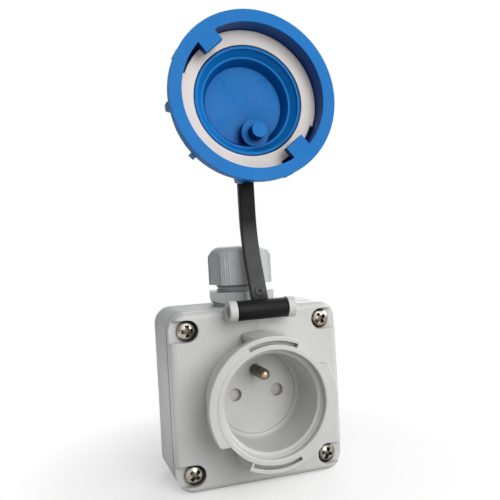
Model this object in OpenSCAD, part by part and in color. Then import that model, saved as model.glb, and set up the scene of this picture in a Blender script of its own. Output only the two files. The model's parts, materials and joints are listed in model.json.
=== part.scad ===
// Surface-mounted industrial socket with a bayonet collar and a strap-held blue lid.
// Wall plane at y = 0, front towards -Y, +Z up, millimetres.

/* [Box] */
// Side of the square box and of its cover
body_size = 75; // [70:1:90]
// Outer corner radius seen from the front
corner_r = 7.5; // [7:0.5:10]
// Depth of the back box, wall to seam
box_depth = 27.2; // [26:0.2:40]
// Wall of the back box
box_wall = 2.8; // [2:0.1:3.2]
// Spacing of the wall-fixing holes across and up
fixing_pitch = 44; // [40:1:48]
// Diameter of a wall-fixing hole
fixing_d = 4.8; // [4:0.1:5.5]

/* [Cover] */
// Depth of the cover from its front face to the seam
cover_depth = 7.2; // [6:0.2:9]
// Thickness of the cover's front plate
cover_plate = 3; // [2.4:0.1:3.5]
// Rounding of the cover's front edge
cover_edge_r = 2.8; // [1:0.1:3]
// Thickness of the seal between cover and box
seal_t = 1.2; // [0.8:0.1:2]
// Step of the seal in from the outside
seal_inset = 0.5; // [0.2:0.1:0.8]

/* [Cover screws] */
// Distance of a cover screw from the sides of the box
screw_edge = 7.5; // [7:0.1:8]
// Diameter of a cover screw's shank
screw_d = 3.8; // [3:0.1:4]
// Length of a cover screw's shank
screw_len = 18; // [12:1:22]
// Diameter of a cover screw's pan head
head_d = 8.4; // [7.5:0.1:8.6]
// Height of a cover screw's pan head
head_h = 2.8; // [2:0.1:3.2]
// Depth of the pocket that sinks each head
pocket_depth = 3; // [2:0.1:3.4]

/* [Collar] */
// Height of the collar in front of the cover
collar_h = 19; // [17:0.1:21]
// Outer radius of the collar's tube
collar_r = 24; // [23.6:0.1:24.2]
// Radius of the plug recess
recess_r = 20; // [19.2:0.1:20.4]
// Radius of the collar's mouth
mouth_r = 22.3; // [21.6:0.1:22.6]
// Depth of the recess floor behind the cover's front face
floor_depth = 5.4; // [5:0.1:8]
// Outer radius of the bayonet rim
bayonet_r = 27.6; // [27:0.1:28]
// Thickness of the bayonet rim
bayonet_t = 3.5; // [2.5:0.1:4]
// Angle where a bayonet entry gap starts
entry_from = 33; // [30:0.5:36]
// Angle where a bayonet entry gap ends
entry_to = 63; // [62:0.5:68]
// Angle where a stop block ends and the open bayonet rim begins
stop_to = 115.5; // [110:0.5:120]

/* [Contacts] */
// Distance between the two contact holes
contact_pitch = 19; // [18.6:0.1:19.4]
// Diameter of a contact hole
contact_hole_d = 5.6; // [5.2:0.1:6]
// Diameter of the earth pin
earth_pin_d = 4.8; // [4.6:0.1:5]
// Length of the earth pin above the recess floor
earth_pin_len = 14; // [12:0.5:16]
// Height of the earth pin above the contact line
earth_rise = 10; // [9.5:0.1:10.5]
// Travel of the shutter that uncovers the contacts, in degrees
shutter_travel = 42; // [40:1:44]

/* [Hinge and strap] */
// Distance of the hinge axis below the box's top face
hinge_drop = 0.1; // [0:0.1:0.4]
// Distance of the hinge axis in front of the cover
hinge_out = 7; // [6.4:0.1:7.2]
// Outer radius of the hinge ears
ear_r = 4.4; // [4:0.1:4.5]
// Width of one hinge ear
ear_w = 3.2; // [2.8:0.1:4]
// Diameter of the hinge pin
pin_d = 3; // [2.5:0.1:3.4]
// Radius of the strap's barrel
barrel_r = 4.1; // [3.6:0.1:4.2]
// Length of the strap's barrel
barrel_len = 21.6; // [20:0.2:24]
// Width of the strap
strap_w = 6.4; // [5:0.2:8]
// Thickness of the strap
strap_t = 3.2; // [2.6:0.1:3.4]
// Length of the strap from its bend to the middle of the lid
strap_upper_len = 56.4; // [56:0.2:60]
// Backward lean of the strap below its bend, in degrees
lower_lean = 16; // [13:1:19]
// Forward lean of the strap above its bend, in degrees (backward if negative)
upper_lean = -4.5; // [-6:0.5:0]

/* [Lid] */
// Outer radius of the lid's rim
lid_r = 35.2; // [34.8:0.1:35.4]
// Thickness of the lid's outer rim
lid_rim_t = 3.2; // [2.5:0.1:4]
// Clear gap between the lid's opening and the bayonet rim
lid_gap = 2.4; // [2:0.1:2.6]
// Overall depth of the lid, rim face to back
lid_depth = 18; // [17.6:0.1:21]
// Depth of the lid's floor below its rim face
lid_floor = 16; // [15:0.1:16.2]
// Depth of the seal's face below the lid's rim face
lid_seal_face = 8; // [7.8:0.1:9]
// Thickness of the lid's seal
lid_seal_t = 2.5; // [2:0.1:2.8]
// Width of a bayonet lug
lug_w = 9; // [8:0.1:9.4]
// Thickness of a bayonet lug
lug_t = 3.3; // [2.6:0.1:3.6]
// Number of grip ribs round the lid
rib_count = 10; // [8:1:12]

/* [Cable gland] */
// Place of the gland's axis from the box's back wall to its seam, as a share
gland_share = 0.532; // [0.52:0.002:0.54]
// Thread diameter of the gland
gland_d = 20; // [16:0.5:20]
// Across-flats size of the gland's body
gland_body_af = 27; // [26:0.5:30]
// Height of the gland's hexagon body
gland_body_h = 4.8; // [4:0.1:8]
// Across-flats size of the gland's nut
gland_nut_af = 25; // [24.8:0.1:26]
// Height of the gland's nut
gland_nut_h = 16.8; // [16:0.1:19]
// Height of bare thread between body and nut
gland_thread_gap = 3.1; // [2:0.1:4]
// Diameter of the cable entry in the gland's seal
cable_d = 10; // [6:0.5:10.4]

/* [Hidden] */
$fn = 96;

// Small clearances shared by everything that fits together
slip = 0.1;
fit_gap = 0.3;
eps = 0.01;

light_grey = [0.80, 0.80, 0.78];
box_grey = [0.66, 0.66, 0.65];
gland_grey = [0.58, 0.59, 0.60];
lid_blue = [0.13, 0.50, 0.82];
black = [0.11, 0.11, 0.12];
seal_white = [0.88, 0.86, 0.83];
steel = [0.80, 0.78, 0.74];
brass = [0.72, 0.58, 0.34];

half = body_size / 2;
total_depth = box_depth + seal_t + cover_depth;
screw_at = half - screw_edge;
hinge_up = half - hinge_drop;
gland_out = box_wall + (box_depth - box_wall) * gland_share;
boss_r = 5;
pad_r = head_d / 2 + 1.6;
pocket_r = head_d / 2 + 0.4;

// Frame of the cover's front face: x right, y up, z out of the front
module on_face() {
    translate([0, -total_depth, 0])
        rotate([90, 0, 0])
            children();
}

// Same shape at the four corners of a square
module at_corners(d) {
    for (sx = [-1, 1])
        for (sy = [-1, 1])
            translate([sx * d, sy * d, 0])
                children();
}

module rounded_square(side, r) {
    square([side - 2 * r, side], center = true);
    square([side, side - 2 * r], center = true);
    at_corners(side / 2 - r)
        circle(r);
}

// Rectangle w wide and h high on the x axis line, its two top corners rounded
module soft_top(w, h, r) {
    translate([-w / 2, 0])
        square([w, h - r]);
    translate([-w / 2 + r, 0])
        square([w - 2 * r, h]);
    for (s = [-1, 1])
        translate([s * (w / 2 - r), h - r])
            circle(r);
}

// Square plate with round corners and a rounded front edge
module soft_plate(side, r, h, edge) {
    straight = side - 2 * r;
    rotate([90, 0, 90])
        linear_extrude(straight, center = true)
            soft_top(side, h, edge);
    rotate([90, 0, 0])
        linear_extrude(straight, center = true)
            soft_top(side, h, edge);
    at_corners(straight / 2)
        rotate_extrude()
            intersection() {
                soft_top(2 * r, h, edge);
                square([r, h]);
            }
}

// Ring from radius r0 to r1 between heights z0 and z1, over one sweep of angle
module arc_ring(r0, r1, z0, z1, from, sweep) {
    rotate([0, 0, from])
        rotate_extrude(angle = sweep)
            translate([r0, z0])
                square([r1 - r0, z1 - z0]);
}

module tube(r0, r1, z0, z1) {
    translate([0, 0, z0])
        difference() {
            cylinder(r = r1, h = z1 - z0);
            translate([0, 0, -1])
                cylinder(r = r0, h = z1 - z0 + 2);
        }
}

// Six-sided prism across flats af, with a flat towards the front
module hex(af, h) {
    cylinder(r = af / 2 / cos(30), h = h, $fn = 6);
}

// Pan head with a cross recess, seated on z = 0 and pointing up
module pan_head(d, h) {
    edge = h * 0.45;
    slot_w = d * 0.2;
    slot_l = d * 0.7;
    slot_h = h * 0.8;
    difference() {
        intersection() {
            cylinder(d = d, h = h);
            translate([0, 0, h - d])
                sphere(r = d);
            translate([0, 0, edge - d * 0.62])
                sphere(r = d * 0.8);
        }
        intersection() {
            union() {
                for (a = [0, 90])
                    rotate([0, 0, a])
                        translate([-d / 2, -slot_w / 2, h - slot_h])
                            cube([d, slot_w, h]);
            }
            translate([0, 0, h - slot_h])
                cylinder(d1 = slot_l * 0.5, d2 = slot_l, h = slot_h + eps);
        }
    }
}

// Back box

// Open square shell with corner posts for the cover screws
box_hole_d = gland_d + 2 * slip;

module back_box() {
    post_h = box_depth + seal_t;
    color(box_grey)
        rotate([90, 0, 0])
            difference() {
                union() {
                    difference() {
                        linear_extrude(box_depth)
                            rounded_square(body_size, corner_r);
                        translate([0, 0, box_wall])
                            linear_extrude(box_depth)
                                rounded_square(body_size - 2 * box_wall, corner_r - box_wall);
                    }
                    at_corners(screw_at)
                        cylinder(r = boss_r, h = post_h);
                }
                at_corners(screw_at)
                    translate([0, 0, post_h - screw_len])
                        cylinder(d = screw_d + 2 * slip, h = screw_len + 1);
                at_corners(fixing_pitch / 2)
                    translate([0, 0, -1])
                        cylinder(d = fixing_d, h = box_wall + 2);
                translate([0, 0, gland_out])
                    rotate([-90, 0, 0])
                        cylinder(d = box_hole_d, h = body_size);
            }
}

// Flat seal between the box's rim and the cover, cut out round the corner posts
module box_seal() {
    color(black)
        rotate([90, 0, 0])
            translate([0, 0, box_depth])
                linear_extrude(seal_t)
                    difference() {
                        rounded_square(body_size - 2 * seal_inset, corner_r - seal_inset);
                        rounded_square(body_size - 2 * box_wall, corner_r - box_wall);
                        at_corners(screw_at)
                            circle(boss_r + slip);
                    }
}

// Front cover with collar and hinge ears

collar_bottom = -floor_depth;
lug_track = collar_h - bayonet_t;
slot_in = collar_r + 0.1;
rim_step = 0.05;
slot_out = slot_in + 1.6;
slot_margin = 2;
slot_depth = 2.6;
stop_back = 11;
floor_round = 2.4;
edge_cut = 0.4;
ear_from = barrel_len / 2 + fit_gap;
ear_recess_d = pin_d + 1.6;
ear_recess_h = 1;
insert_screw_at = collar_r + 3.6;
insert_boss_r = 3.2;
insert_screw_d = 2.6;
insert_screw_len = floor_depth + 2.4;
weld_w = 0.2;
weld_depth = 0.1;

// Rounded corner that the bore keeps where it meets the recess floor
module floor_corner() {
    bore_r = recess_r - 0.4;
    reach = floor_round - 0.03;
    sink = 0.05;
    difference() {
        translate([bore_r - reach, collar_bottom - 2])
            square([reach + 1, floor_round + 2 - sink]);
        translate([bore_r - reach, collar_bottom + floor_round - sink])
            circle(floor_round);
    }
}

// Step and chamfer that lead into the recess from the mouth, and the rounded corner at its floor
module recess_cut() {
    mouth_step = 2.8;
    ledge = (mouth_r - recess_r) * 0.5;
    top = collar_h;
    rotate_extrude()
        difference() {
            polygon([
                [0, collar_bottom - 1],
                [recess_r - 0.4, collar_bottom - 1],
                [recess_r - 0.4, collar_bottom + floor_round],
                [recess_r, top - mouth_step - ledge - 0.6],
                [mouth_r - ledge, top - mouth_step - 0.6],
                [mouth_r - ledge, top - mouth_step],
                [mouth_r - edge_cut, top - mouth_step],
                [mouth_r - edge_cut, top - edge_cut],
                [mouth_r, top],
                [mouth_r, top + 1],
                [0, top + 1]
            ]);
            floor_corner();
        }
}

// Part of the collar's rim over one sweep of angle, from height z0 to a chamfered top
module rim_sector(from, sweep, z0, top) {
    rotate([0, 0, from])
        rotate_extrude(angle = sweep)
            polygon([
                [collar_r - 0.5, z0],
                [bayonet_r, z0],
                [bayonet_r, top - edge_cut],
                [bayonet_r - edge_cut, top],
                [collar_r - 0.5, top]
            ]);
}

// Tube, solid stop blocks, and a broad bayonet rim on each side that starts over its block. The rim
// is free behind, so that a lug can pass under it, and its end at the entry gap is cut level.
module collar() {
    rim_from = stop_to - stop_back - 180 - 1;
    rim_extra = 6;
    level = (collar_r + bayonet_r) / 2 * sin(entry_from);
    translate([0, 0, collar_bottom])
        cylinder(r = collar_r, h = collar_h - collar_bottom);
    for (turn = [0, 180])
        rotate([0, 0, turn]) {
            rim_sector(entry_to, stop_to - stop_back - entry_to, -1, collar_h - rim_step);
            difference() {
                rim_sector(rim_from, entry_from + rim_extra - rim_from, lug_track, collar_h - 2 * rim_step);
                translate([0, level, 0])
                    cube([bayonet_r + 1, bayonet_r, collar_h + 1]);
            }
        }
}

module stop_slots() {
    for (turn = [0, 180])
        arc_ring(slot_in, slot_out, collar_h - slot_depth, collar_h + 1,
                 entry_to + slot_margin + turn, stop_to - entry_to - 2 * slot_margin);
}

// One hinge ear: a round boss on a slightly narrower web that runs down to the cover
module hinge_ears() {
    web_angle = 42;
    web_step = 0.25;
    for (side = [0, 1])
        mirror([side, 0, 0])
            translate([ear_from, 0, 0]) {
                translate([0, hinge_up, hinge_out])
                    rotate([0, 90, 0])
                        cylinder(r = ear_r, h = ear_w);
                translate([web_step, 0, 0])
                    rotate([90, 0, 90])
                        linear_extrude(ear_w - 2 * web_step)
                            polygon([
                                [hinge_up, hinge_out],
                                [hinge_up - ear_r + 0.2, hinge_out - 1],
                                [hinge_up - ear_r + 0.2, -cover_edge_r],
                                [half - 0.6, -cover_edge_r + 0.4],
                                [hinge_up + ear_r * sin(web_angle), hinge_out - ear_r * cos(web_angle) + 0.1]
                            ]);
            }
}

module hinge_hole() {
    reach = ear_from + ear_w;
    translate([0, hinge_up, hinge_out])
        rotate([0, 90, 0]) {
            cylinder(d = pin_d, h = 2 * reach + 2, center = true);
            for (s = [-1, 1])
                translate([0, 0, s * reach])
                    cylinder(d = ear_recess_d, h = 2 * ear_recess_h, center = true);
        }
}

// Pocket that sinks one screw head and runs out through the side
module screw_pockets() {
    for (sx = [-1, 1])
        for (sy = [-1, 1])
            translate([sx * screw_at, sy * screw_at, -pocket_depth]) {
                cylinder(r = pocket_r, h = pocket_depth + 1);
                translate([sx > 0 ? 0 : -half, -pocket_r, 0])
                    cube([half, 2 * pocket_r, pocket_depth + 1]);
                translate([0, 0, -cover_depth])
                    cylinder(d = screw_d + 4 * slip, h = cover_depth + 1);
            }
}

// Solid corners under the pockets
module screw_pads() {
    for (sx = [-1, 1])
        for (sy = [-1, 1])
            translate([sx * screw_at, sy * screw_at, -cover_depth]) {
                cylinder(r = pad_r, h = cover_depth);
                translate([sx > 0 ? 0 : -half, -pad_r, 0])
                    cube([half, 2 * pad_r, cover_depth]);
            }
}

// Faint line where the plastic met when it was moulded
module weld_line() {
    from = bayonet_r - 2;
    translate([-weld_w / 2, from, -weld_depth])
        cube([weld_w, half - cover_edge_r - from, weld_depth + 0.5]);
}

module insert_bosses() {
    for (s = [-1, 1])
        translate([s * insert_screw_at, 0, -floor_depth])
            cylinder(r = insert_boss_r, h = floor_depth - eps);
}

module front_cover() {
    color(light_grey)
        on_face()
            difference() {
                union() {
                    difference() {
                        translate([0, 0, -cover_depth])
                            soft_plate(body_size, corner_r, cover_depth, cover_edge_r);
                        difference() {
                            translate([0, 0, -cover_depth - 1])
                                linear_extrude(cover_depth - cover_plate + 1)
                                    rounded_square(body_size - 2 * box_wall, corner_r - box_wall);
                            screw_pads();
                        }
                    }
                    collar();
                    hinge_ears();
                    insert_bosses();
                }
                recess_cut();
                stop_slots();
                hinge_hole();
                weld_line();
                screw_pockets();
                for (s = [-1, 1])
                    translate([s * insert_screw_at, 0, -floor_depth - 1])
                        cylinder(d = insert_screw_d + 2 * slip, h = insert_screw_len - insert_ear_t + 1);
            }
}

module cover_screws() {
    color(steel)
        on_face()
            for (sx = [-1, 1])
                for (sy = [-1, 1])
                    translate([sx * screw_at, sy * screw_at, -pocket_depth]) {
                        rotate([0, 0, 38 + 14 * sx - 22 * sy])
                            pan_head(head_d, head_h);
                        translate([0, 0, -screw_len - cover_depth + pocket_depth + 1])
                            cylinder(d = screw_d, h = screw_len + cover_depth - pocket_depth);
                    }
}

// Contact insert behind the recess

insert_r = collar_r - 0.2;
floor_t = 2.2;
chamber_h = 3.6;
chamber_r = 17;
plate_bottom = -floor_depth - floor_t - chamber_h;
block_h = 11.5;
block_bottom = plate_bottom - block_h;
insert_ear_t = 4;
contact_at = contact_pitch / 2;
post_d = 3;
sleeve_r = 3.4;
sleeve_bore = earth_pin_d / 2;
terminal_size = 8;
terminal_h = 8;
terminal_off = 7.2;
pocket_clear = 0.3;
wire_d = 3.2;
clamp_screw_d = 3;

// Moulded floor of the recess, with the shutter's chamber behind it
module recess_plate() {
    color(light_grey)
        on_face()
            difference() {
                union() {
                    translate([0, 0, plate_bottom])
                        cylinder(r = insert_r, h = floor_t + chamber_h);
                    for (s = [-1, 1])
                        insert_ear(s, -floor_depth - insert_ear_t, insert_ear_t);
                }
                translate([0, 0, plate_bottom - 1])
                    difference() {
                        cylinder(r = chamber_r, h = chamber_h + 1);
                        cylinder(d = post_d, h = chamber_h + 2);
                    }
                for (s = [-1, 1])
                    translate([s * contact_at, 0, plate_bottom - 1])
                        cylinder(d = contact_hole_d, h = floor_t + chamber_h + 2);
                translate([0, earth_rise, plate_bottom - 1])
                    cylinder(d = earth_pin_d, h = floor_t + chamber_h + 2);
                insert_screw_holes(-floor_depth - insert_ear_t, insert_ear_t);
            }
}

module insert_ear(side, z, t) {
    translate([side * insert_screw_at, 0, z])
        cylinder(r = insert_boss_r, h = t);
    translate([side > 0 ? 0 : -insert_screw_at, -insert_boss_r, z])
        cube([insert_screw_at, 2 * insert_boss_r, t]);
}

module insert_screw_holes(z, t) {
    for (s = [-1, 1])
        translate([s * insert_screw_at, 0, z - 1])
            cylinder(d = insert_screw_d + 4 * slip, h = t + 2);
}

// Rear moulding that holds the contacts
module contact_block() {
    color(box_grey)
        on_face()
            difference() {
                translate([0, 0, block_bottom])
                    cylinder(r = insert_r, h = block_h);
                for (s = [-1, 1])
                    translate([s * contact_at, 0, 0])
                        rotate([0, 0, s > 0 ? 0 : 180])
                            contact_pocket();
                translate([0, earth_rise, 0])
                    rotate([0, 0, 90])
                        contact_pocket();
                block_post_hole();
            }
}

// Blind hole that centres the block on the shutter's post
module block_post_hole() {
    translate([0, 0, plate_bottom - 3])
        cylinder(d = post_d + 2 * slip, h = 4);
}

// Room for one contact sleeve and its terminal, open to the rear
module contact_pocket() {
    translate([0, 0, block_bottom - 1])
        cylinder(r = sleeve_r + pocket_clear, h = block_h + 2);
    translate([0, -terminal_size / 2 - pocket_clear, block_bottom - 1])
        cube([terminal_off + terminal_size / 2 + pocket_clear, terminal_size + 2 * pocket_clear,
              terminal_h + 1 + pocket_clear + 1]);
}

module insert_screws() {
    color(steel)
        on_face()
            for (s = [-1, 1])
                translate([s * insert_screw_at, 0, -floor_depth - insert_ear_t])
                    rotate([180, 0, 0]) {
                        pan_head(insert_boss_r * 2 - 0.8, 1.8);
                        translate([0, 0, -insert_screw_len + 0.5])
                            cylinder(d = insert_screw_d, h = insert_screw_len);
                    }
}

// Brass sleeve with a screw terminal beside it, along +x
module contact_body() {
    top = plate_bottom - fit_gap;
    difference() {
        union() {
            translate([0, 0, block_bottom + 1])
                cylinder(r = sleeve_r, h = top - block_bottom - 1);
            translate([0, -terminal_size / 2, block_bottom + 1])
                cube([terminal_off + terminal_size / 2, terminal_size, terminal_h]);
        }
        translate([0, 0, block_bottom + 3])
            cylinder(r = sleeve_bore, h = block_h);
        translate([-sleeve_r - 1, -0.4, block_bottom + terminal_h + 1.4])
            cube([2 * sleeve_r + 2, 0.8, block_h]);
        translate([terminal_off, 0, block_bottom + 1 + terminal_h * 0.6])
            rotate([90, 0, 0])
                cylinder(d = wire_d, h = terminal_size + 2, center = true);
        translate([terminal_off, 0, block_bottom])
            cylinder(d = clamp_screw_d + 2 * slip, h = terminal_h * 0.6 + 1);
    }
}

module live_contact() {
    color(brass)
        on_face()
            translate([contact_at, 0, 0])
                contact_body();
}

module neutral_contact() {
    color(brass)
        on_face()
            mirror([1, 0, 0])
                translate([contact_at, 0, 0])
                    contact_body();
}

// Round-nosed pin on a thinner shank, held by a shoulder behind the recess floor
neck_h = 0.5;
neck_step = 0.2;
shoulder_r = 3.3;
tail_len = 7;

module earth_pin() {
    r = earth_pin_d / 2;
    color(brass)
        on_face()
            translate([0, earth_rise, 0]) {
                translate([0, 0, -floor_depth + earth_pin_len - r])
                    sphere(r = r);
                translate([0, 0, -floor_depth + neck_h])
                    cylinder(r = r, h = earth_pin_len - r - neck_h);
                translate([0, 0, plate_bottom - tail_len])
                    cylinder(r = r - neck_step, h = floor_t + chamber_h + tail_len + neck_h + eps);
                translate([0, 0, plate_bottom + fit_gap])
                    cylinder(r = shoulder_r, h = chamber_h - fit_gap);
            }
}

module earth_terminal() {
    color(brass)
        on_face()
            translate([0, earth_rise, 0])
                rotate([0, 0, 90])
                    contact_body();
}

module terminal_screws() {
    color(steel)
        on_face()
            for (place = [[contact_at, 0, 0], [-contact_at, 0, 180], [0, earth_rise, 90]])
                translate([place[0], place[1], block_bottom + 1])
                    rotate([0, 0, place[2]])
                        translate([terminal_off, 0, 0])
                            clamp_screw();
}

module clamp_screw() {
    head_z = 1.6;
    difference() {
        union() {
            translate([0, 0, -head_z])
                cylinder(d = clamp_screw_d + 2, h = head_z);
            translate([0, 0, -eps])
                cylinder(d = clamp_screw_d, h = terminal_h * 0.4);
        }
        translate([-clamp_screw_d, -0.35, -head_z - 1])
            cube([2 * clamp_screw_d, 0.7, 1.8]);
    }
}

// Turning shutter: two wings that cover the contact holes from behind
shutter_top = -floor_depth - floor_t - fit_gap;
shutter_t = 2.5;
wing_r = contact_hole_d / 2 + 0.8;
hub_r = 4;
spring_wire = 0.5;
spring_r = 2.35;
spring_room = 1.7;

module shutter() {
    color(light_grey)
        on_face()
            translate([0, 0, shutter_top - shutter_t])
                difference() {
                    union() {
                        cylinder(r = hub_r, h = shutter_t);
                        for (s = [-1, 1])
                            translate([s * contact_at, 0, 0])
                                cylinder(r = wing_r, h = shutter_t);
                        translate([-contact_at, -wing_r * 0.7, 0])
                            cube([contact_pitch, wing_r * 1.4, shutter_t]);
                    }
                    translate([0, 0, -1])
                        cylinder(d = post_d + 2 * slip, h = shutter_t + 2);
                    translate([0, 0, -1])
                        cylinder(r = spring_r + spring_wire, h = spring_room + 1);
                }
}

// Return spring: one open turn of wire round the shutter's post, both ends bent in
module shutter_spring() {
    open_angle = 300;
    leg_r = spring_wire / 2 - 0.05;
    leg = spring_r - post_d / 2 - slip;
    color(steel)
        on_face()
            translate([0, 0, shutter_top - shutter_t + spring_room / 2]) {
                rotate_extrude(angle = open_angle)
                    translate([spring_r, 0])
                        circle(spring_wire / 2);
                for (a = [4, open_angle - 4])
                    rotate([0, 0, a])
                        translate([spring_r, 0, 0])
                            rotate([0, -90, 0])
                                cylinder(r = leg_r, h = leg);
            }
}

// Hinge pin, strap and lid

// Pin pressed into both ears, its ends seen in their recesses
module hinge_pin() {
    pin_len = 2 * (ear_from + ear_w - ear_recess_h);
    color(steel)
        on_face()
            translate([0, hinge_up, hinge_out])
                rotate([0, 90, 0])
                    cylinder(d = pin_d, h = pin_len, center = true);
}

// The strap bends at a flex line. Its lower length follows from the closed lid:
// the upper length then hangs straight down in front of the lid, on the socket axis.
strap_seat = lid_depth + fit_gap + strap_t / 2;
closed_rim = collar_h - lid_seal_face + fit_gap;
flex_out_closed = closed_rim + strap_seat;
strap_lower_len = norm([flex_out_closed - hinge_out, strap_upper_len - hinge_up]);
closed_lean = atan2(flex_out_closed - hinge_out, strap_upper_len - hinge_up);
hinge_travel = closed_lean + lower_lean;
flex_travel = 180 - upper_lean - hinge_travel;
closed_bend = 180 - closed_lean;
flex_up = hinge_up + strap_lower_len * cos(lower_lean);
flex_out = hinge_out - strap_lower_len * sin(lower_lean);
lid_up = flex_up + strap_upper_len * cos(upper_lean) - strap_seat * sin(upper_lean);
lid_out = flex_out + strap_upper_len * sin(upper_lean) + strap_seat * cos(upper_lean);
knuckle_r = 1;
notch_angle = (180 - closed_bend) / 2;
notch_gap = 0.2;
notch_len = (strap_t / 2 + notch_gap) / tan(notch_angle);

// Lower strap frame: y along the strap from the hinge to the flex line, z to the front
module at_strap_lower() {
    on_face()
        translate([0, hinge_up, hinge_out])
            rotate([-lower_lean, 0, 0])
                children();
}

// Upper strap frame: y from the flex line to the lid, z to the front
module at_strap_upper() {
    on_face()
        translate([0, flex_up, flex_out])
            rotate([upper_lean, 0, 0])
                children();
}

// Lid frame: z out of the lid's opening, rim face at z = 0
module at_lid() {
    on_face()
        translate([0, lid_up, lid_out])
            rotate([upper_lean, 0, 0])
                children();
}

// Solid w wide along x from a side view drawn in y and z
module across(w) {
    rotate([90, 0, 90])
        linear_extrude(w, center = true)
            children();
}

module strap_lower() {
    back = -strap_t / 2;
    front = strap_t / 2;
    end = strap_lower_len;
    color(black)
        at_strap_lower()
            difference() {
                union() {
                    rotate([0, 90, 0])
                        cylinder(r = barrel_r, h = barrel_len, center = true);
                    across(strap_w)
                        polygon([
                            [0, back],
                            [end - knuckle_r, back],
                            [end, -notch_gap],
                            [end - notch_len, front],
                            [0, front]
                        ]);
                    translate([0, end, 0])
                        rotate([0, 90, 0])
                            cylinder(r = knuckle_r, h = strap_w, center = true);
                }
                rotate([0, 90, 0])
                    cylinder(d = pin_d + 2 * slip, h = barrel_len + 2, center = true);
            }
}

lid_post_d = 7;
eye_r = 8;

module strap_upper() {
    back = -strap_t / 2;
    front = strap_t / 2;
    color(black)
        at_strap_upper()
            difference() {
                union() {
                    across(strap_w)
                        polygon([
                            [0, back],
                            [strap_upper_len, back],
                            [strap_upper_len, front],
                            [notch_len, front],
                            [0, -notch_gap]
                        ]);
                    translate([0, strap_upper_len, 0])
                        cylinder(r = eye_r, h = strap_t, center = true);
                }
                rotate([0, 90, 0])
                    cylinder(r = knuckle_r + fit_gap, h = strap_w + 2, center = true);
                translate([0, strap_upper_len, 0])
                    cylinder(d = lid_post_d + 2 * slip, h = strap_t + 2, center = true);
            }
}

// Bayonet lid

lid_open_r = bayonet_r + lid_gap;
lid_wall_r = lid_r - 1.7;
shoulder_w = 9;
shoulder_round = 5;
drum_r = 23.5;
drum_round = 3;
lip_out = bayonet_r - 4.2;
lip_in = lip_out - 1.6;
lip_top = lid_seal_face + 0.2;
cup_step = 11.5;
cup_step_r = lip_in - 3;
cup_floor_r = cup_step_r - 2;
seal_seat = lid_seal_face + lid_seal_t;
lug_in = collar_r + 0.6;
lug_half = atan2(lug_w / 2, lug_in);
lug_play = 1;
lug_angle = lug_half + lug_play - entry_to;
boss_at = cup_floor_r - 3.6;
boss_angle = -77;
boss_step_r = 6;
boss_peg_r = 3.2;
boss_step = cup_step + 0.15;
boss_tip = 6;
rib_first = -138;
rib_w = 2.6;
rib_out = lid_r + 0.2;
cap_d = 11;
cap_h = 2;
stem_d = 3.4;
stem_len = 4.6;
post_h = strap_t + 2 * fit_gap;
eject_d = 4;
eject_at = cup_floor_r - 3.4;
eject_depth = 0.12;

// Half section of the lid: radius across, depth below the rim face down
module lid_section() {
    difference() {
        union() {
            difference() {
                lid_outside();
                translate([0, -seal_seat])
                    square([lid_open_r, seal_seat + 1]);
            }
            translate([0, -cup_step])
                square([lip_out, cup_step - lip_top - 0.8]);
            translate([0, -lip_top - 0.8])
                square([lip_out - 0.8, 0.8]);
            translate([lip_out - 0.8, -lip_top - 0.8])
                circle(0.8);
        }
        polygon([
            [0, 1],
            [lip_in, 1],
            [lip_in, -lip_top - 0.6],
            [cup_step_r + 0.8, -cup_step],
            [cup_step_r, -cup_step],
            [cup_floor_r, -lid_floor],
            [0, -lid_floor]
        ]);
    }
}

// Rim, side wall, rounded shoulder and central drum
module lid_outside() {
    shoulder_depth = shoulder_w + shoulder_round;
    translate([0, -lid_rim_t])
        square([lid_r, lid_rim_t]);
    translate([0, -shoulder_w])
        square([lid_wall_r, shoulder_w]);
    translate([lid_wall_r - shoulder_round, -shoulder_w])
        circle(shoulder_round);
    translate([0, -shoulder_depth])
        square([lid_wall_r - shoulder_round, shoulder_depth]);
    translate([0, -lid_depth + drum_round])
        square([drum_r, lid_depth - drum_round]);
    translate([drum_r - drum_round, -lid_depth + drum_round])
        circle(drum_round);
    translate([0, -lid_depth])
        square([drum_r - drum_round, lid_depth]);
}

module lid_ribs() {
    for (i = [0:rib_count - 1])
        rotate([0, 0, rib_first + i * 360 / rib_count])
            rotate([90, 0, 0])
                linear_extrude(rib_w, center = true)
                    polygon([
                        [lid_wall_r - 1.5, -lid_rim_t + eps],
                        [rib_out - 0.4, -lid_rim_t + eps],
                        [rib_out, -lid_rim_t - 1.5],
                        [rib_out, -shoulder_w],
                        [lid_wall_r - 0.6, -shoulder_w - 2.6],
                        [lid_wall_r - 1.5, -shoulder_w - 2.6]
                    ]);
}

module lid_lugs() {
    for (turn = [0, 180])
        rotate([0, 0, lug_angle + turn])
            translate([lug_in, -lug_w / 2, -lug_t])
                cube([lid_open_r - lug_in + 0.8, lug_w, lug_t]);
}

// Stepped peg on the lid's floor, on the hinge side
module lid_boss() {
    rotate([0, 0, boss_angle])
        translate([boss_at, 0, 0]) {
            translate([0, 0, -lid_floor - eps])
                cylinder(r = boss_step_r, h = lid_floor - boss_step);
            translate([0, 0, -lid_floor - eps])
                cylinder(r = boss_peg_r, h = lid_floor - boss_tip);
        }
}

module lid() {
    color(lid_blue)
        at_lid()
            difference() {
                union() {
                    rotate_extrude()
                        lid_section();
                    lid_ribs();
                    lid_lugs();
                    lid_boss();
                    translate([0, 0, -lid_depth - post_h])
                        cylinder(d = lid_post_d, h = post_h + 1);
                }
                translate([0, 0, -lid_depth - post_h - 1])
                    cylinder(d = stem_d, h = stem_len + 1.2);
                for (a = [46, 136])
                    rotate([0, 0, a])
                        translate([eject_at, 0, -lid_floor - eject_depth])
                            cylinder(d = eject_d, h = 1);
            }
}

// Flat seal ring, cut back beside each lug
seal_cut_before = 13;
seal_cut_after = 30;
seal_cut_depth = 1.2;

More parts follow.
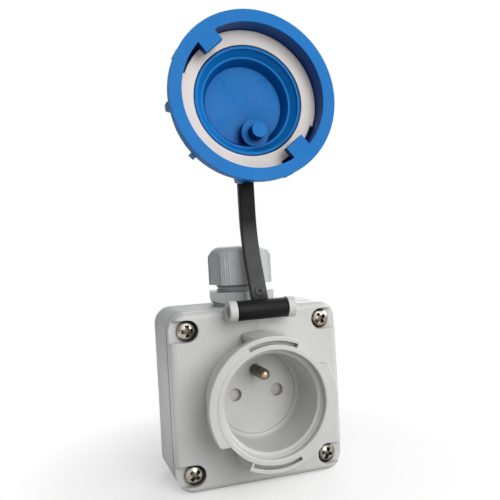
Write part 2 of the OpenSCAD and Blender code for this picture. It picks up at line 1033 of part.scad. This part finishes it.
module lid_seal() {
    color(seal_white)
        at_lid()
            difference() {
                tube(lip_out + slip, lid_open_r - fit_gap, -seal_seat, -lid_seal_face);
                for (turn = [0, 180])
                    arc_ring(lid_open_r - fit_gap - seal_cut_depth, lid_open_r + 1,
                             -seal_seat - 1, -lid_seal_face + 1,
                             lug_angle - seal_cut_before + turn, seal_cut_before + seal_cut_after);
            }
}

// Push-in cap that keeps the strap's eye on the lid's post
module strap_retainer() {
    color(black)
        at_lid()
            translate([0, 0, -lid_depth - post_h]) {
                intersection() {
                    translate([0, 0, -cap_h])
                        cylinder(d = cap_d, h = cap_h);
                    translate([0, 0, cap_d - cap_h])
                        sphere(r = cap_d);
                }
                translate([0, 0, -eps])
                    cylinder(d = stem_d, h = stem_len);
            }
}

// Cable gland on the top wall

gland_washer_t = 1.5;
gland_bore = 7.6;
upper_thread_r = 11;
thread_depth = 0.7;
thread_pitch = 1.5;
locknut_h = 5.5;
locknut_af = gland_d + 2.6;
claw_r = 9.4;
claw_seat = 4;
seal_r = 7.8;
nut_top_r = 6.8;
nut_inner = upper_thread_r + fit_gap;
nut_round = 6;
nut_flat_h = gland_nut_h - nut_round;
upper_thread_h = gland_thread_gap + nut_flat_h - 5.4;
nut_turn = -19;
body_turn = 21;
body_from = gland_washer_t;
body_to = body_from + gland_body_h;
nut_from = body_to + gland_thread_gap;
thread_to = body_to + upper_thread_h;
claw_to = nut_from + nut_flat_h - 1;

// Gland frame: z up along the gland from the box's top face
module at_gland() {
    translate([0, -gland_out, half])
        children();
}

module gland_washer() {
    color(black)
        at_gland()
            tube(gland_d / 2 + slip, gland_d / 2 + 3, 0, gland_washer_t);
}

// Hexagon with a turned lower edge, entry thread below and clamping thread above
module gland_body() {
    entry_len = box_wall + locknut_h + 2;
    color(gland_grey)
        at_gland()
            difference() {
                union() {
                    intersection() {
                        translate([0, 0, body_from])
                            rotate([0, 0, body_turn])
                                hex(gland_body_af, gland_body_h);
                        translate([0, 0, body_from])
                            cylinder(r1 = gland_body_af / 2 + 0.3, r2 = gland_body_af / 2 + 7,
                                     h = gland_body_h + eps);
                    }
                    translate([0, 0, -entry_len])
                        cylinder(d = gland_d, h = entry_len + body_from + eps);
                    upper_thread();
                }
                translate([0, 0, -entry_len - 1])
                    cylinder(r = gland_bore, h = entry_len + thread_to + 2);
                translate([0, 0, thread_to - claw_seat])
                    cylinder(r = claw_r + slip, h = claw_seat + 1);
            }
}

// Rings of the clamping thread that show below the nut
module upper_thread() {
    rings = floor(upper_thread_h / thread_pitch);
    core = upper_thread_r - thread_depth;
    translate([0, 0, body_to - eps])
        cylinder(r = core, h = upper_thread_h + eps);
    for (i = [0:rings - 1])
        translate([0, 0, body_to + (i + 0.15) * thread_pitch])
            rotate_extrude()
                polygon([
                    [core - 1, 0],
                    [core, 0],
                    [upper_thread_r, thread_pitch * 0.3],
                    [upper_thread_r, thread_pitch * 0.4],
                    [core, thread_pitch * 0.7],
                    [core - 1, thread_pitch * 0.7]
                ]);
}

module gland_locknut() {
    color(gland_grey)
        at_gland()
            translate([0, 0, -box_wall - locknut_h])
                difference() {
                    hex(locknut_af, locknut_h);
                    translate([0, 0, -1])
                        cylinder(d = gland_d + 2 * slip, h = locknut_h + 2);
                }
}

// Ring of clamping fingers inside the nut
module gland_claw() {
    finger_count = 12;
    finger_gap = 1;
    foot = thread_to - claw_seat;
    color(gland_grey)
        at_gland()
            difference() {
                tube(seal_r + slip, claw_r, foot, claw_to);
                for (i = [0:finger_count - 1])
                    rotate([0, 0, i * 360 / finger_count])
                        translate([0, -finger_gap / 2, thread_to])
                            cube([claw_r + 1, finger_gap, claw_to]);
            }
}

module gland_seal() {
    foot = thread_to - claw_seat;
    color(black)
        at_gland()
            tube(cable_d / 2, seal_r, foot, claw_to - 1);
}

// Six-sided cap nut: rounded corners with fine grip ribs, domed top
module nut_outline() {
    corner = gland_nut_af / 2 / cos(30);
    grip_r = corner - 0.5;
    ridge = 0.4;
    ridge_step = 3.8;
    intersection() {
        circle(r = corner, $fn = 6);
        circle(r = grip_r);
    }
    for (i = [0:5])
        for (k = [-3:3])
            rotate([0, 0, 60 * i + k * ridge_step])
                translate([min(grip_r, gland_nut_af / 2 / cos(30 - abs(k) * ridge_step)) - 0.1, 0])
                    circle(ridge, $fn = 24);
}

module nut_dome() {
    outer = gland_nut_af / 2 / cos(30) - 0.1;
    rotate_extrude() {
        square([outer, nut_flat_h]);
        square([outer - nut_round, gland_nut_h]);
        intersection() {
            translate([outer - nut_round, nut_flat_h])
                circle(nut_round);
            square([outer, gland_nut_h]);
        }
    }
}

module gland_nut() {
    color(gland_grey)
        at_gland()
            translate([0, 0, nut_from])
                rotate([0, 0, nut_turn])
                    difference() {
                        intersection() {
                            linear_extrude(gland_nut_h)
                                nut_outline();
                            nut_dome();
                        }
                        translate([0, 0, -1])
                            cylinder(r = nut_inner, h = nut_flat_h);
                        translate([0, 0, nut_flat_h - 1 - eps])
                            cylinder(r1 = claw_r + fit_gap, r2 = nut_top_r, h = 3);
                        cylinder(r = nut_top_r, h = gland_nut_h + 1);
                    }
}

back_box();
box_seal();
front_cover();
cover_screws();
recess_plate();
contact_block();
insert_screws();
live_contact();
neutral_contact();
earth_pin();
earth_terminal();
terminal_screws();
shutter();
shutter_spring();
hinge_pin();
strap_lower();
strap_upper();
lid();
lid_seal();
strap_retainer();
gland_washer();
gland_body();
gland_locknut();
gland_claw();
gland_seal();
gland_nut();
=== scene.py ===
"""Looks for the surface-mounted socket: materials, the rubber strap, light and camera.

Everything is in metres in the frame of the solids: wall plane at y = 0, the socket faces -Y, +Z up.
"""
import json
import math

import bmesh
import bpy
from mathutils import Matrix, Vector


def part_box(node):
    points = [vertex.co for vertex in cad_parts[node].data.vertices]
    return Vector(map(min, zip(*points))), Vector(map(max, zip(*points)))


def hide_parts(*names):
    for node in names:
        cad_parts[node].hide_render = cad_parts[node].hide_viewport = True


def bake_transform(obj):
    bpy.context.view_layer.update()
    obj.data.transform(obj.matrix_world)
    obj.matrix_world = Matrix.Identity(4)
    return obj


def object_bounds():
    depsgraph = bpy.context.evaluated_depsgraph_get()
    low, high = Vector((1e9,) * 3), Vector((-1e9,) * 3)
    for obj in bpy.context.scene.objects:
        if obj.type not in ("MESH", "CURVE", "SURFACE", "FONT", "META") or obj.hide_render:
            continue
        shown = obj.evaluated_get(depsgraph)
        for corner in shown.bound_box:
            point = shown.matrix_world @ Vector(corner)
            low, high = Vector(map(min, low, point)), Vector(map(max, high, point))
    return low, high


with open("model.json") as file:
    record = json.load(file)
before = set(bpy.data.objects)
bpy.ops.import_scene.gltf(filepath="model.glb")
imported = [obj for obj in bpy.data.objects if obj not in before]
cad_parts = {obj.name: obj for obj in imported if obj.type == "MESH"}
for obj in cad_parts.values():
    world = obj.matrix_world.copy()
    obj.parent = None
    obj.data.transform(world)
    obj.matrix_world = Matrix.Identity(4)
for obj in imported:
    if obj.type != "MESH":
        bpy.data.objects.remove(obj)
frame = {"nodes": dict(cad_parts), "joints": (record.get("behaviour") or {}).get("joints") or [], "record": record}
cad_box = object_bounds()

MM = 0.001
ACROSS = Vector((1, 0, 0))
NODES = frame["nodes"]
JOINTS = {joint["name"]: joint for joint in frame["joints"]}


# Colours and small node helpers

NOISE_SPAN = (0.3, 0.7)
NOISE_ROUGHNESS = 0.55
EDGE_SPAN = (0.98, 0.80)
CREVICE_SPAN = (0.35, 0.85)
BEVEL_SAMPLES = 6
CREVICE_SAMPLES = 8
# Sockets of the Mix node when it mixes colours: the factor and the two colours, then the result
MIX_INPUTS = (0, 6, 7)
MIX_RESULT = 2


def srgb(red, green, blue):
    """A colour given as 0 to 255 screen values, as the linear numbers that shaders use."""
    def linear(value):
        share = value / 255
        return share / 12.92 if share <= 0.04045 else ((share + 0.055) / 1.055) ** 2.4
    return (linear(red), linear(green), linear(blue), 1.0)


def scaled(colour, factor):
    return tuple(min(1.0, channel * factor) for channel in colour[:3]) + (1.0,)


class Shader:
    """One node material, with short calls for the nodes that the finishes share."""

    def __init__(self, name):
        self.material = bpy.data.materials.new(name)
        self.material.use_nodes = True
        self.tree = self.material.node_tree
        self.tree.nodes.clear()
        self.out = self.node("ShaderNodeOutputMaterial")
        self.bsdf = self.node("ShaderNodeBsdfPrincipled")
        self.link(self.bsdf.outputs["BSDF"], self.out.inputs["Surface"])
        coordinates = self.node("ShaderNodeTexCoord")
        self.place = coordinates.outputs["Object"]
        self.facing = coordinates.outputs["Normal"]

    def node(self, kind, **settings):
        made = self.tree.nodes.new(kind)
        for key, value in settings.items():
            setattr(made, key, value)
        return made

    def link(self, source, target):
        self.tree.links.new(source, target)

    def feed(self, value, target):
        """Let an input follow a socket, or give it a constant."""
        if isinstance(value, bpy.types.NodeSocket):
            self.link(value, target)
        else:
            target.default_value = value

    def noise(self, per_metre, detail):
        """Noise with features of about 1 / per_metre metres, from 0 to 1."""
        made = self.node("ShaderNodeTexNoise")
        made.inputs["Scale"].default_value = per_metre
        made.inputs["Detail"].default_value = detail
        made.inputs["Roughness"].default_value = NOISE_ROUGHNESS
        self.link(self.place, made.inputs["Vector"])
        return made.outputs["Fac"]

    def remap(self, value, span, low=0.0, high=1.0):
        """The value stretched so that span runs from low to high, held at both ends."""
        made = self.node("ShaderNodeMapRange")
        made.inputs["From Min"].default_value, made.inputs["From Max"].default_value = span
        made.inputs["To Min"].default_value = low
        made.inputs["To Max"].default_value = high
        self.link(value, made.inputs["Value"])
        return made.outputs["Result"]

    def mottle(self, per_metre, detail, low=0.0, high=1.0, span=NOISE_SPAN):
        """Patches of noise that run from low to high."""
        return self.remap(self.noise(per_metre, detail), span, low, high)

    def mix(self, factor, first, second):
        """Colour between first and second. Each may be a socket or a colour, factor a socket or number."""
        made = self.node("ShaderNodeMix", data_type="RGBA")
        for value, index in zip((factor, first, second), MIX_INPUTS):
            self.feed(value, made.inputs[index])
        return made.outputs[MIX_RESULT]

    def times(self, first, second):
        made = self.node("ShaderNodeMath", operation="MULTIPLY")
        self.feed(first, made.inputs[0])
        self.feed(second, made.inputs[1])
        return made.outputs[0]

    def component(self, vector, axis):
        """The X, Y or Z of a vector."""
        split = self.node("ShaderNodeSeparateXYZ")
        self.link(vector, split.inputs[0])
        return split.outputs[axis]

    def soft_normal(self, radius):
        """Normal that is rounded over sharp edges."""
        bevel = self.node("ShaderNodeBevel", samples=BEVEL_SAMPLES)
        bevel.inputs["Radius"].default_value = radius
        return bevel.outputs["Normal"]

    def edges(self, rounded):
        """1 on sharp edges, where the rounded normal departs from the flat one, and 0 on faces."""
        dot = self.node("ShaderNodeVectorMath", operation="DOT_PRODUCT")
        self.link(rounded, dot.inputs[0])
        self.link(self.node("ShaderNodeNewGeometry").outputs["Normal"], dot.inputs[1])
        return self.remap(dot.outputs["Value"], EDGE_SPAN)

    def crevices(self, reach, span=CREVICE_SPAN):
        """About 1 in corners and recesses narrower than reach, 0 in the open: the mask for painted shade."""
        hidden = self.node("ShaderNodeAmbientOcclusion", samples=CREVICE_SAMPLES)
        hidden.inputs["Distance"].default_value = reach
        return self.remap(hidden.outputs["AO"], span, 1.0, 0.0)

    def bump(self, height, depth, normal=None):
        made = self.node("ShaderNodeBump")
        made.inputs["Strength"].default_value = 1.0
        made.inputs["Distance"].default_value = depth
        self.link(height, made.inputs["Height"])
        if normal is not None:
            self.link(normal, made.inputs["Normal"])
        return made.outputs["Normal"]

    def finish(self, colour, rough, normal, **sockets):
        self.link(colour, self.bsdf.inputs["Base Color"])
        self.link(rough, self.bsdf.inputs["Roughness"])
        self.link(normal, self.bsdf.inputs["Normal"])
        for name, value in sockets.items():
            self.bsdf.inputs[name.replace("_", " ")].default_value = value
        return self.material


# Finishes. Noise has features per metre and a detail, and a tone is a share of the finish's own colour.

PLASTIC_EDGE = 0.35 * MM
RUBBER_EDGE = 0.4 * MM
STEEL_EDGE = 0.15 * MM
BRASS_EDGE = 0.2 * MM
PLASTIC_REACH = 3.0 * MM
RUBBER_REACH = 2.0 * MM
STEEL_REACH = 2.6 * MM
STEEL_SHADE = (0.55, 0.92)
PLASTIC_GRAIN = 0.010 * MM
RUBBER_GRAIN = 0.014 * MM
METAL_GRAIN = 0.004 * MM
SHEEN_GREY = srgb(88, 88, 86)
SHEEN_LEAN = (0.08, 0.27)
SHEEN_FADE = 3.0 * MM
SHEEN_OVER_PIN = 2.8 * MM
BRIGHT_TIP = 0.8 * MM
DARK_FROM = 5.5 * MM


def moulded(name, colour, rough=0.45, grain=1600, depth=PLASTIC_GRAIN, wear_and_highlight=0.35, painted_shade=0.30, shade_colour=None,
            reach=PLASTIC_REACH, shade=CREVICE_SPAN, gloss=0.5, edge=PLASTIC_EDGE, edge_tone=1.25):
    """Injection-moulded plastic: spark grain, flow mottling, rubbed edges made lighter also as a painted
    highlight, painted shade in corners.
    """
    shader = Shader(name)
    rounded = shader.soft_normal(edge)
    flow = shader.mottle(45, 4)
    base = shader.mix(flow, scaled(colour, 0.93), scaled(colour, 1.04))
    speck = shader.mottle(700, 2, high=0.25, span=(0.55, 0.75))
    base = shader.mix(speck, base, scaled(colour, 0.82))
    # Painted shade: darker towards the shade colour in corners and recesses.
    corner_shade = shader.times(shader.crevices(reach, shade), painted_shade)
    base = shader.mix(corner_shade, base, shade_colour or scaled(colour, 0.45))
    # Rubbed edges, made lighter, which is also a painted highlight.
    lighter_edge = shader.mottle(160, 3, 0.2 * wear_and_highlight, wear_and_highlight, span=(0.35, 0.7))
    base = shader.mix(shader.times(shader.edges(rounded), lighter_edge), base, scaled(colour, edge_tone))
    smear = shader.mottle(85, 5, rough - 0.07, rough + 0.07)
    normal = shader.bump(shader.noise(grain, 2), depth, rounded)
    return shader.finish(base, smear, normal, Specular_IOR_Level=gloss)


def sheen_mask(shader, above):
    """1 on faces higher than the given height that lean back toward the light above, for a painted sheen, and 0 on
    upright ones.
    """
    clear = shader.remap(shader.component(shader.place, "Z"), (above, above + SHEEN_FADE))
    return shader.times(clear, shader.remap(shader.component(shader.facing, "Z"), SHEEN_LEAN))


def rubber(name, colour, rough=0.6, dusty=0.25, gloss=0.4, sheen_above=None):
    """Matt elastomer with a fine skin, a little dust, a painted sheen on faces that lean back and painted shade in
    its crevices.
    """
    shader = Shader(name)
    rounded = shader.soft_normal(RUBBER_EDGE)
    bloom = shader.mottle(70, 5, high=dusty, span=(0.35, 0.72))
    base = shader.mix(bloom, colour, scaled(colour, 1.7))
    # Painted sheen: a lighter grey where the faces lean back under the light above.
    if sheen_above is not None:
        painted_sheen = shader.times(sheen_mask(shader, sheen_above), shader.mottle(120, 4, 0.55, 0.8))
        base = shader.mix(painted_sheen, base, SHEEN_GREY)
    lighter_edge = shader.times(shader.edges(rounded), 0.35)
    base = shader.mix(lighter_edge, base, scaled(colour, 1.9))
    # Painted shade in the crevices.
    crevice_shade = shader.times(shader.crevices(RUBBER_REACH), 0.4)
    base = shader.mix(crevice_shade, base, scaled(colour, 0.5))
    smear = shader.mottle(110, 4, rough - 0.08, rough + 0.08)
    normal = shader.bump(shader.noise(1200, 3), RUBBER_GRAIN, rounded)
    return shader.finish(base, smear, normal, Specular_IOR_Level=gloss)


def plated(name, colour):
    """Plated steel with dull patches and painted shade in its slots."""
    shader = Shader(name)
    dull = shader.mottle(330, 3, high=0.85, span=(0.42, 0.60))
    base = shader.mix(dull, colour, scaled(colour, 0.32))
    # Painted shade in the slots and recesses.
    crevice_shade = shader.times(shader.crevices(STEEL_REACH, STEEL_SHADE), 0.95)
    base = shader.mix(crevice_shade, base, scaled(colour, 0.05))
    smear = shader.mottle(420, 3, 0.20, 0.42)
    normal = shader.bump(shader.noise(1500, 2), METAL_GRAIN, shader.soft_normal(STEEL_EDGE))
    return shader.finish(base, smear, normal, Metallic=1.0)


def pin_brass(name, colour, tip_y):
    """Brass contact: darker in patches from just behind the tip back along its length, its own colour at the tip.
    """
    shader = Shader(name)
    toward_back = shader.remap(shader.component(shader.place, "Y"), (tip_y + BRIGHT_TIP, tip_y + DARK_FROM))
    patch = shader.times(toward_back, shader.mottle(300, 4, 0.75, 1.0, span=(0.3, 0.65)))
    base = shader.mix(patch, colour, scaled(colour, 0.10))
    smear = shader.mottle(500, 3, 0.22, 0.42)
    normal = shader.bump(shader.noise(1400, 2), METAL_GRAIN, shader.soft_normal(BRASS_EDGE))
    return shader.finish(base, smear, normal, Metallic=1.0)


pin_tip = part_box("earth_pin")[0][1]
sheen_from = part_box("hinge_pin")[1][2] + SHEEN_OVER_PIN
FINISH = {
    "cover_grey": moulded("cover_grey", srgb(203, 203, 200), wear_and_highlight=0.7, painted_shade=0.45, edge_tone=1.35),
    "box_grey": moulded("box_grey", srgb(190, 191, 190), rough=0.5),
    "gland_grey": moulded("gland_grey", srgb(187, 189, 191), rough=0.42),
    "shutter_white": moulded("shutter_white", srgb(200, 197, 190), painted_shade=0.2),
    # The lid's deep navy in its cup and behind its rim is painted shade, and its much lighter edges are a painted
    # highlight.
    "lid_blue": moulded("lid_blue", srgb(2, 113, 188), rough=0.44, grain=1300, depth=0.008 * MM,
                        wear_and_highlight=0.9, edge=0.5 * MM, edge_tone=1.8, painted_shade=0.9, shade_colour=srgb(0, 16, 90),
                        reach=80.0 * MM, shade=(0.42, 0.58), gloss=0.15),
    # The strap's lower leg has a painted sheen.
    "strap_black": rubber("strap_black", srgb(21, 21, 22), rough=0.45, gloss=0.12, sheen_above=sheen_from),
    "seal_white": rubber("seal_white", srgb(226, 219, 212), rough=0.7, dusty=0.1),
    "seal_black": rubber("seal_black", srgb(46, 46, 48)),
    "screw_steel": plated("screw_steel", srgb(186, 177, 164)),
    "contact_brass": pin_brass("contact_brass", srgb(164, 147, 124), pin_tip),
}

for entry in frame["record"]["subparts"]:
    node_mesh = NODES[entry["node"]].data
    node_mesh.materials.clear()
    node_mesh.materials.append(FINISH[entry["material_slot"]])


# Mesh helpers

SMOOTH_BELOW = math.radians(35)


def rounded_corner(before, corner, after, reach, steps):
    """Points of a smooth bend that leaves each leg at the given reach from the corner."""
    first = corner + (before - corner).normalized() * reach
    last = corner + (after - corner).normalized() * reach
    return [first * (1 - k) ** 2 + corner * 2 * k * (1 - k) + last * k * k
            for k in (i / steps for i in range(steps + 1))]


def rounded_section(width, thick, r, steps=4):
    """Outline of a rounded rectangle, anticlockwise, as (across, through) pairs."""
    points = []
    for sx, sy, first in ((1, 1, 0), (-1, 1, 90), (-1, -1, 180), (1, -1, 270)):
        for k in range(steps + 1):
            a = math.radians(first + 90 * k / steps)
            points.append((sx * (width / 2 - r) + r * math.cos(a), sy * (thick / 2 - r) + r * math.sin(a)))
    return points


def soft_ring(inner, outer, low, high, r, steps=4):
    """Outline of a ring's section with rounded outer edges, as (radius, height) pairs."""
    quarter = [math.pi / 2 * k / steps for k in range(steps + 1)]
    lower = [(outer - r + r * math.sin(a), low + r - r * math.cos(a)) for a in quarter]
    upper = [(outer - r + r * math.cos(a), high - r + r * math.sin(a)) for a in quarter]
    return [(inner, low)] + lower + upper + [(inner, high)]


def skin(bm, rings):
    """Quads between each ring of vertices and the next."""
    for here, there in zip(rings, rings[1:]):
        for k in range(len(here)):
            after = (k + 1) % len(here)
            bm.faces.new((here[k], here[after], there[after], there[k]))


def swept(path, section):
    """Closed bar along a path that stays in the plane of y and z."""
    bm = bmesh.new()
    rings = []
    for i, p in enumerate(path):
        along = (path[min(i + 1, len(path) - 1)] - path[max(i - 1, 0)]).normalized()
        through = ACROSS.cross(along)
        rings.append([bm.verts.new(p + ACROSS * u + through * v) for u, v in section])
    skin(bm, rings)
    bm.faces.new(list(reversed(rings[0])))
    bm.faces.new(rings[-1])
    bmesh.ops.recalc_face_normals(bm, faces=bm.faces)
    return bm


def turned(profile, axis_at, axis, steps=72):
    """Closed ring turned from an outline of (radius, height) pairs about an axis."""
    bm = bmesh.new()
    up = axis.normalized()
    side = up.orthogonal().normalized()
    other = up.cross(side)

    def point(r, h, a):
        return axis_at + up * h + side * r * math.cos(a) + other * r * math.sin(a)

    turn = [2 * math.pi * k / steps for k in range(steps)]
    rings = [[bm.verts.new(point(r, h, a)) for a in turn] for r, h in profile]
    skin(bm, rings + rings[:1])
    bmesh.ops.recalc_face_normals(bm, faces=bm.faces)
    return bm


def smooth(mesh):
    for face in mesh.polygons:
        face.use_smooth = True
    mesh.set_sharp_from_angle(angle=SMOOTH_BELOW)


def to_object(bm, name):
    mesh = bpy.data.meshes.new(name)
    bm.to_mesh(mesh)
    bm.free()
    obj = bpy.data.objects.new(name, mesh)
    bpy.context.scene.collection.objects.link(obj)
    smooth(mesh)
    return obj


def joined(base, others):
    """base with the other solids merged into it, which are then removed."""
    for other in others:
        union = base.modifiers.new("join", "BOOLEAN")
        union.operation = "UNION"
        union.solver = "EXACT"
        union.object = other
    done = bpy.data.meshes.new_from_object(base.evaluated_get(bpy.context.evaluated_depsgraph_get()))
    base.modifiers.clear()
    old = base.data
    base.data = done
    done.name = base.name
    bpy.data.meshes.remove(old)
    for other in others:
        bpy.data.objects.remove(other)
    smooth(done)
    return base


# The rubber strap: one moulding from the hinge barrel to the eye behind the lid

STRAP_W = 7.0 * MM
STRAP_T = 3.2 * MM
STRAP_ROUND = 0.6 * MM
STRAP_ROOT = 3.0 * MM
BARREL_R = 4.1 * MM
BARREL_ROUND = 0.5 * MM
BORE_R = 1.6 * MM
EYE_R = 8.0 * MM
EYE_HOLE_R = 3.6 * MM
EYE_LAP = 2.0 * MM
EYE_FLAT = 9.0 * MM
EYE_REACH = 6.0 * MM
BEND_REACH = 12.0 * MM
BOW = 3.0 * MM
ROOT_STEPS = 6
BEND_STEPS = 24
RISE_STEPS = 14
EYE_STEPS = 8
MARK_R = 2.1 * MM
MARK_HOLE_R = 0.8 * MM
MARK_AT = 7.2 * MM
MARK_SUNK = 0.5 * MM
MARK_PROUD = 0.08 * MM
MARK_ROUND = 0.06 * MM

hinge = Vector(JOINTS["strap_hinge"]["pos_m"])
flex = Vector(JOINTS["strap_flex"]["pos_m"])
lid_axis = Vector(JOINTS["lid_turn"]["axis"]).normalized()
lid_centre = Vector(JOINTS["lid_turn"]["pos_m"])
barrel_low, barrel_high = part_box("strap_lower")
barrel_len = barrel_high[0] - barrel_low[0]
lower_dir = (flex - hinge).normalized()
upper_dir = lid_axis.cross(ACROSS).normalized()
if upper_dir.z < 0:
    upper_dir.negate()
eye = flex + upper_dir * (lid_centre - flex).dot(upper_dir)


def strap_path():
    """Centre line: from the barrel to a bend that bows back a little, then up and flat against the lid."""
    start = hinge + lower_dir * STRAP_ROOT
    bend = flex - lid_axis * BOW
    flat = eye - upper_dir * EYE_FLAT
    end = eye - upper_dir * EYE_LAP
    first = rounded_corner(start, bend, flat, BEND_REACH, BEND_STEPS)
    second = rounded_corner(bend, flat, end, EYE_REACH, EYE_STEPS)
    root = [start.lerp(first[0], i / ROOT_STEPS) for i in range(ROOT_STEPS)]
    rise = [first[-1].lerp(second[0], i / RISE_STEPS) for i in range(1, RISE_STEPS)]
    return root + first + rise + second + [end]


def strap_barrel():
    profile = soft_ring(BORE_R, BARREL_R, -barrel_len / 2, barrel_len / 2, BARREL_ROUND)
    return to_object(turned(profile, hinge, ACROSS), "strap_barrel")


def strap_eye():
    profile = soft_ring(EYE_HOLE_R, EYE_R, -STRAP_T / 2, STRAP_T / 2, STRAP_ROUND)
    return to_object(turned(profile, eye, lid_axis), "strap_eye")


def strap_mark():
    """Small raised ring on the front of the lower leg."""
    face = STRAP_T / 2
    profile = soft_ring(MARK_HOLE_R, MARK_R, face - MARK_SUNK, face + MARK_PROUD, MARK_ROUND)
    front = ACROSS.cross(lower_dir)
    if front.y > 0:
        front.negate()
    return to_object(turned(profile, hinge + lower_dir * MARK_AT, front), "strap_mark")


def make_strap():
    bar = to_object(swept(strap_path(), rounded_section(STRAP_W, STRAP_T, STRAP_ROUND)), "strap")
    strap = joined(bar, [strap_barrel(), strap_eye(), strap_mark()])
    strap.data.materials.clear()
    strap.data.materials.append(FINISH["strap_black"])
    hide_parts("strap_lower", "strap_upper")
    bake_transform(strap)


# Studio

FLOOR_Z = cad_box[0][2] - 0.5 * MM
FLOOR_R = 3.0
FLOOR_SIDES = 64
FLOOR_FADE = (0.01, 0.11)
FLOOR_TONES = (srgb(246, 246, 245), srgb(250, 250, 249))
FLOOR_GRAIN = 0.01 * MM
BOUNCE_GREY = (0.45, 0.45, 0.45, 1.0)
WORLD_TINT = (0.95, 0.97, 1.0, 1.0)
WORLD_STRENGTH = 0.18
WHITE = (1.0, 1.0, 1.0, 1.0)
MIDDLE = (0, -0.04, 0.05)
BOX_SIDE = (-0.04, -0.02, -0.005)

# Name, place, aim, diameter in metres, watts, spread in degrees
LAMPS = (
    ("key", (0.28, -1.10, 0.45), MIDDLE, 0.90, 8.6, 180),
    ("side", (0.90, -0.25, 0.45), MIDDLE, 0.50, 4.2, 180),
    ("above", (0.05, -0.75, 0.95), MIDDLE, 0.50, 2.0, 180),
    ("behind", (0.55, 0.90, 0.45), MIDDLE, 0.70, 4.0, 180),
    ("left_edge", (-0.20, -0.02, -0.005), BOX_SIDE, 0.06, 0.0026, 20),
)


def seen_directly(tree):
    """1 for rays from the eye, also off metal or through glass; 0 for light that falls on the object."""
    rays = tree.nodes.new("ShaderNodeLightPath")
    total = rays.outputs["Is Camera Ray"]
    for name in ("Is Glossy Ray", "Is Transmission Ray"):
        either = tree.nodes.new("ShaderNodeMath")
        either.operation = "MAXIMUM"
        tree.links.new(total, either.inputs[0])
        tree.links.new(rays.outputs[name], either.inputs[1])
        total = either.outputs[0]
    return total


def blended(tree, factor, first, second, target):
    """Put a mix of two shaders on the target."""
    blend = tree.nodes.new("ShaderNodeMixShader")
    for source, socket in zip((factor, first, second), blend.inputs):
        tree.links.new(source, socket)
    tree.links.new(blend.outputs["Shader"], target)


def floor_material():
    """Pale floor near the object, which keeps its shadow and runs out into the white surround."""
    shader = Shader("studio_floor")
    pale = shader.mix(shader.mottle(6, 3), *FLOOR_TONES)
    seen = seen_directly(shader.tree)
    colour = shader.mix(seen, BOUNCE_GREY, pale)
    rough = shader.mottle(30, 3, 0.75, 0.85)
    shader.finish(colour, rough, shader.bump(shader.noise(200, 2), FLOOR_GRAIN))
    far = shader.node("ShaderNodeVectorMath", operation="LENGTH")
    shader.link(shader.place, far.inputs[0])
    run_out = shader.times(shader.remap(far.outputs["Value"], FLOOR_FADE), seen)
    white = shader.node("ShaderNodeEmission")
    blended(shader.tree, run_out, shader.bsdf.outputs["BSDF"], white.outputs["Emission"],
            shader.out.inputs["Surface"])
    return shader.material


def make_floor():
    bm = bmesh.new()
    bm.faces.new([bm.verts.new((FLOOR_R * math.cos(a), FLOOR_R * math.sin(a), FLOOR_Z))
                  for a in (2 * math.pi * k / FLOOR_SIDES for k in range(FLOOR_SIDES))])
    floor = to_object(bm, "studio_floor")
    floor.data.materials.append(floor_material())


def make_world():
    """Dim even light on the object, white to the eye."""
    world = bpy.data.worlds.new("studio_world")
    world.use_nodes = True
    tree = world.node_tree
    dim = tree.nodes["Background"]
    dim.inputs["Color"].default_value = WORLD_TINT
    dim.inputs["Strength"].default_value = WORLD_STRENGTH
    white = tree.nodes.new("ShaderNodeBackground")
    white.inputs["Color"].default_value = WHITE
    blended(tree, seen_directly(tree), dim.outputs[0], white.outputs[0],
            tree.nodes["World Output"].inputs["Surface"])
    bpy.context.scene.world = world


def make_lamp(name, place, aim, size, watts, spread):
    data = bpy.data.lights.new(name, "AREA")
    data.shape = "DISK"
    data.size = size
    data.energy = watts
    data.spread = math.radians(spread)
    lamp = bpy.data.objects.new(name, data)
    lamp.location = place
    lamp.rotation_euler = (Vector(aim) - Vector(place)).to_track_quat("-Z", "Y").to_euler()
    bpy.context.scene.collection.objects.link(lamp)


# Camera, fitted to the screw heads, contacts, collar and lid of the picture

CAMERA_AT = Vector((-85.40, -290.04, 66.97)) * MM
CAMERA_AIM = Vector((-4.23, -45.0, 62.18)) * MM
CAMERA_ROLL = math.radians(3.124)
CAMERA_LENS = 45.47
SENSOR_WIDTH = 36
CLIP_NEAR = 0.01
CLIP_FAR = 20


def make_camera():
    data = bpy.data.cameras.new("photo_camera")
    data.sensor_width = SENSOR_WIDTH
    data.lens = CAMERA_LENS
    data.clip_start = CLIP_NEAR
    data.clip_end = CLIP_FAR
    camera = bpy.data.objects.new("photo_camera", data)
    turn = (CAMERA_AIM - CAMERA_AT).to_track_quat("-Z", "Y").to_matrix().to_4x4()
    camera.matrix_world = Matrix.Translation(CAMERA_AT) @ turn @ Matrix.Rotation(-CAMERA_ROLL, 4, "Z")
    bpy.context.scene.collection.objects.link(camera)
    bpy.context.scene.camera = camera


make_strap()
make_floor()
make_world()
for lamp_row in LAMPS:
    make_lamp(*lamp_row)
make_camera()
bpy.context.scene.view_settings.view_transform = "Standard"
